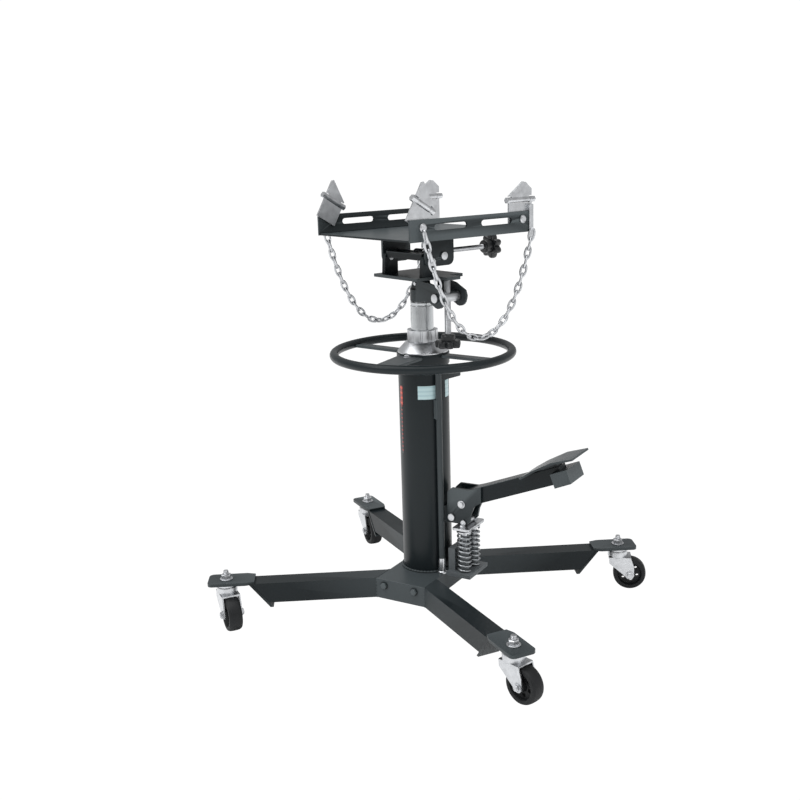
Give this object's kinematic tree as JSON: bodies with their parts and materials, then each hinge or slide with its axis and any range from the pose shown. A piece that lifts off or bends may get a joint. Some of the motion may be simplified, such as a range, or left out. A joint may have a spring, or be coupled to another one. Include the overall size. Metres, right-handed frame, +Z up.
{
  "type": "transmission jack",
  "caption": "Foot-pumped telescopic transmission jack on a four-leg caster base, with a two-stage ram and a tilting, swivelling saddle with hinged claws and chains.",
  "frame": {"origin": "on the floor under the middle of the whole footprint; the column axis stands 6 mm towards -X of it", "axes": "+Z up along the column, +X towards the foot pedal, +Y away from the side with the pedal's release rod"},
  "size_m": [0.7988, 0.6616, 0.9513],
  "materials": {
    "paint": "semi-gloss charcoal powder coat",
    "zinc": "bright zinc plate",
    "chrome": "ground and polished",
    "steel": "oiled spring steel",
    "casting": "painted casting",
    "rubber": "black tread",
    "plastic": "moulded black"
  },
  "bodies": {
    "base": {"base_hub": "paint", "leg_front_left": "paint", "leg_front_right": "paint", "leg_rear_left": "paint", "leg_rear_right": "paint", "caster_stem_front_left": "zinc", "caster_stem_front_right": "zinc", "caster_stem_rear_left": "zinc", "caster_stem_rear_right": "zinc", "column_tube": "paint", "handle_ring": "paint", "gland_nut": "chrome", "release_valve": "chrome", "pump_block": "casting", "pedal_bracket": "paint", "pedal_pivot_pin": "zinc", "spring_left": "steel", "spring_right": "steel"},
    "fork_front_left": {"caster_fork_front_left": "zinc", "caster_axle_front_left": "zinc"},
    "wheel_front_left": {"caster_wheel_front_left": "rubber"},
    "fork_front_right": {"caster_fork_front_right": "zinc", "caster_axle_front_right": "zinc"},
    "wheel_front_right": {"caster_wheel_front_right": "rubber"},
    "fork_rear_left": {"caster_fork_rear_left": "zinc", "caster_axle_rear_left": "zinc"},
    "wheel_rear_left": {"caster_wheel_rear_left": "rubber"},
    "fork_rear_right": {"caster_fork_rear_right": "zinc", "caster_axle_rear_right": "zinc"},
    "wheel_rear_right": {"caster_wheel_rear_right": "rubber"},
    "outer": {"outer_ram": "chrome"},
    "inner": {"inner_ram": "chrome"},
    "saddle": {"saddle_socket": "paint", "tilt_pin": "zinc", "tilt_trunnion": "zinc"},
    "cradle": {"tilt_frame": "paint"},
    "upright_screw": {"tilt_screw": "zinc"},
    "upright_knob": {"tilt_knob": "plastic"},
    "tray": {"saddle_tray": "paint", "rock_pin_left": "zinc", "rock_pin_right": "zinc", "rock_trunnion": "zinc", "bracket_front_left": "zinc", "bracket_front_right": "zinc", "bracket_rear_left": "zinc", "bracket_rear_right": "zinc", "chain_left": "zinc", "chain_right": "zinc"},
    "level_screw": {"rock_screw": "zinc"},
    "level_knob": {"rock_knob": "plastic"},
    "claw_front_left_swing": {"claw_front_left": "zinc"},
    "claw_front_right_swing": {"claw_front_right": "zinc"},
    "claw_rear_left_swing": {"claw_rear_left": "zinc"},
    "claw_rear_right_swing": {"claw_rear_right": "zinc"},
    "pedal": {"pedal_arm": "paint", "pedal_roller": "steel"},
    "plungers": {"plunger_left": "chrome", "plunger_right": "chrome", "plunger_bridge": "zinc"},
    "release": {"release_rod": "paint"}
  },
  "joints": [
    {"name": "swivel_front_left", "type": "hinge", "parent": "base", "child": "fork_front_left", "pos_m": [0.33864, 0.28628, 0.076], "axis": [0, 0, 1], "continuous": true},
    {"name": "spin_front_left", "type": "hinge", "parent": "fork_front_left", "child": "wheel_front_left", "pos_m": [0.36461, 0.29677, 0.0375], "axis": [-0.3746, 0.9272, 0], "continuous": true},
    {"name": "swivel_front_right", "type": "hinge", "parent": "base", "child": "fork_front_right", "pos_m": [0.33864, -0.28628, 0.076], "axis": [0, 0, 1], "continuous": true},
    {"name": "spin_front_right", "type": "hinge", "parent": "fork_front_right", "child": "wheel_front_right", "pos_m": [0.36527, -0.29494, 0.0375], "axis": [0.309, 0.9511, 0], "continuous": true},
    {"name": "swivel_rear_left", "type": "hinge", "parent": "base", "child": "fork_rear_left", "pos_m": [-0.35064, 0.28628, 0.076], "axis": [0, 0, 1], "continuous": true},
    {"name": "spin_rear_left", "type": "hinge", "parent": "fork_rear_left", "child": "wheel_rear_left", "pos_m": [-0.32828, 0.26943, 0.0375], "axis": [0.6018, 0.7986, 0], "continuous": true},
    {"name": "swivel_rear_right", "type": "hinge", "parent": "base", "child": "fork_rear_right", "pos_m": [-0.35064, -0.28628, 0.076], "axis": [0, 0, 1], "continuous": true},
    {"name": "spin_rear_right", "type": "hinge", "parent": "fork_rear_right", "child": "wheel_rear_right", "pos_m": [-0.32771, -0.30234, 0.0375], "axis": [0.5736, 0.8192, 0], "continuous": true},
    {"name": "outer_lift", "type": "slide", "parent": "base", "child": "outer", "axis": [0, 0, 1], "range_m": [0, 0.41]},
    {"name": "inner_lift", "type": "slide", "parent": "outer", "child": "inner", "axis": [0, 0, 1], "range_m": [0, 0.41]},
    {"name": "saddle_swivel", "type": "hinge", "parent": "inner", "child": "saddle", "pos_m": [-0.006, 0, 0.698], "axis": [0, 0, 1], "continuous": true},
    {"name": "saddle_tilt", "type": "hinge", "parent": "saddle", "child": "cradle", "pos_m": [-0.006, 0, 0.735], "axis": [-0.3469, -0.9379, 0], "range_deg": [-5, 10]},
    {"name": "upright_screw_rise", "type": "slide", "parent": "saddle", "child": "upright_screw", "axis": [0, 0, 1], "range_m": [-0.0076, 0.0148]},
    {"name": "upright_knob_turn", "type": "hinge", "parent": "upright_screw", "child": "upright_knob", "pos_m": [0.07185, -0.0288, 0.607], "axis": [0, 0, 1], "range_deg": [-1310, 2615]},
    {"name": "saddle_rock", "type": "hinge", "parent": "cradle", "child": "tray", "pos_m": [-0.01745, -0.03095, 0.787], "axis": [0.9379, -0.3469, 0], "range_deg": [-4, 6]},
    {"name": "level_screw_travel", "type": "slide", "parent": "tray", "child": "level_screw", "axis": [0.3469, 0.9379, 0], "range_m": [-0.0008, 0.0012]},
    {"name": "level_knob_turn", "type": "hinge", "parent": "level_screw", "child": "level_knob", "pos_m": [0.05645, 0.16882, 0.797], "axis": [0.3469, 0.9379, 0], "range_deg": [-160, 240]},
    {"name": "claw_swing_front_left", "type": "hinge", "parent": "tray", "child": "claw_front_left_swing", "pos_m": [-0.08801, 0.18068, 0.9045], "axis": [-0.3469, -0.9379, 0], "range_deg": [-60, 80]},
    {"name": "claw_swing_front_right", "type": "hinge", "parent": "tray", "child": "claw_front_right_swing", "pos_m": [0.18604, 0.0793, 0.9045], "axis": [0.3469, 0.9379, 0], "range_deg": [-60, 80]},
    {"name": "claw_swing_rear_left", "type": "hinge", "parent": "tray", "child": "claw_rear_left_swing", "pos_m": [-0.17791, -0.06235, 0.90731], "axis": [-0.2986, -0.8073, 0.509], "range_deg": [-60, 80]},
    {"name": "claw_swing_rear_right", "type": "hinge", "parent": "tray", "child": "claw_rear_right_swing", "pos_m": [0.09614, -0.16373, 0.90731], "axis": [0.2986, 0.8073, -0.509], "range_deg": [-60, 80]},
    {"name": "pedal_press", "type": "hinge", "parent": "base", "child": "pedal", "pos_m": [0.069, 0, 0.231], "axis": [0, 1, 0], "range_deg": [0, 25], "stiffness_Nm_per_rad": 14, "springref_deg": -45.84},
    {"name": "plunger_stroke", "type": "slide", "parent": "base", "child": "plungers", "axis": [0, 0, -1], "range_m": [0, 0.0119], "deforming": ["spring_left", "spring_right"]},
    {"name": "release_turn", "type": "hinge", "parent": "base", "child": "release", "pos_m": [0.0485, -0.033, 0.1363], "axis": [0, 0, 1], "range_deg": [-80, 0]}
  ],
  "couplings": [
    {"joint": "upright_screw_rise", "follows": "saddle_tilt", "m_per_rad": 0.083},
    {"joint": "upright_knob_turn", "follows": "saddle_tilt", "ratio": 260.75},
    {"joint": "level_screw_travel", "follows": "saddle_rock", "m_per_rad": 0.011},
    {"joint": "level_knob_turn", "follows": "saddle_rock", "ratio": 39.494},
    {"joint": "plunger_stroke", "follows": "pedal_press", "m_per_rad": 0.0268}
  ]
}
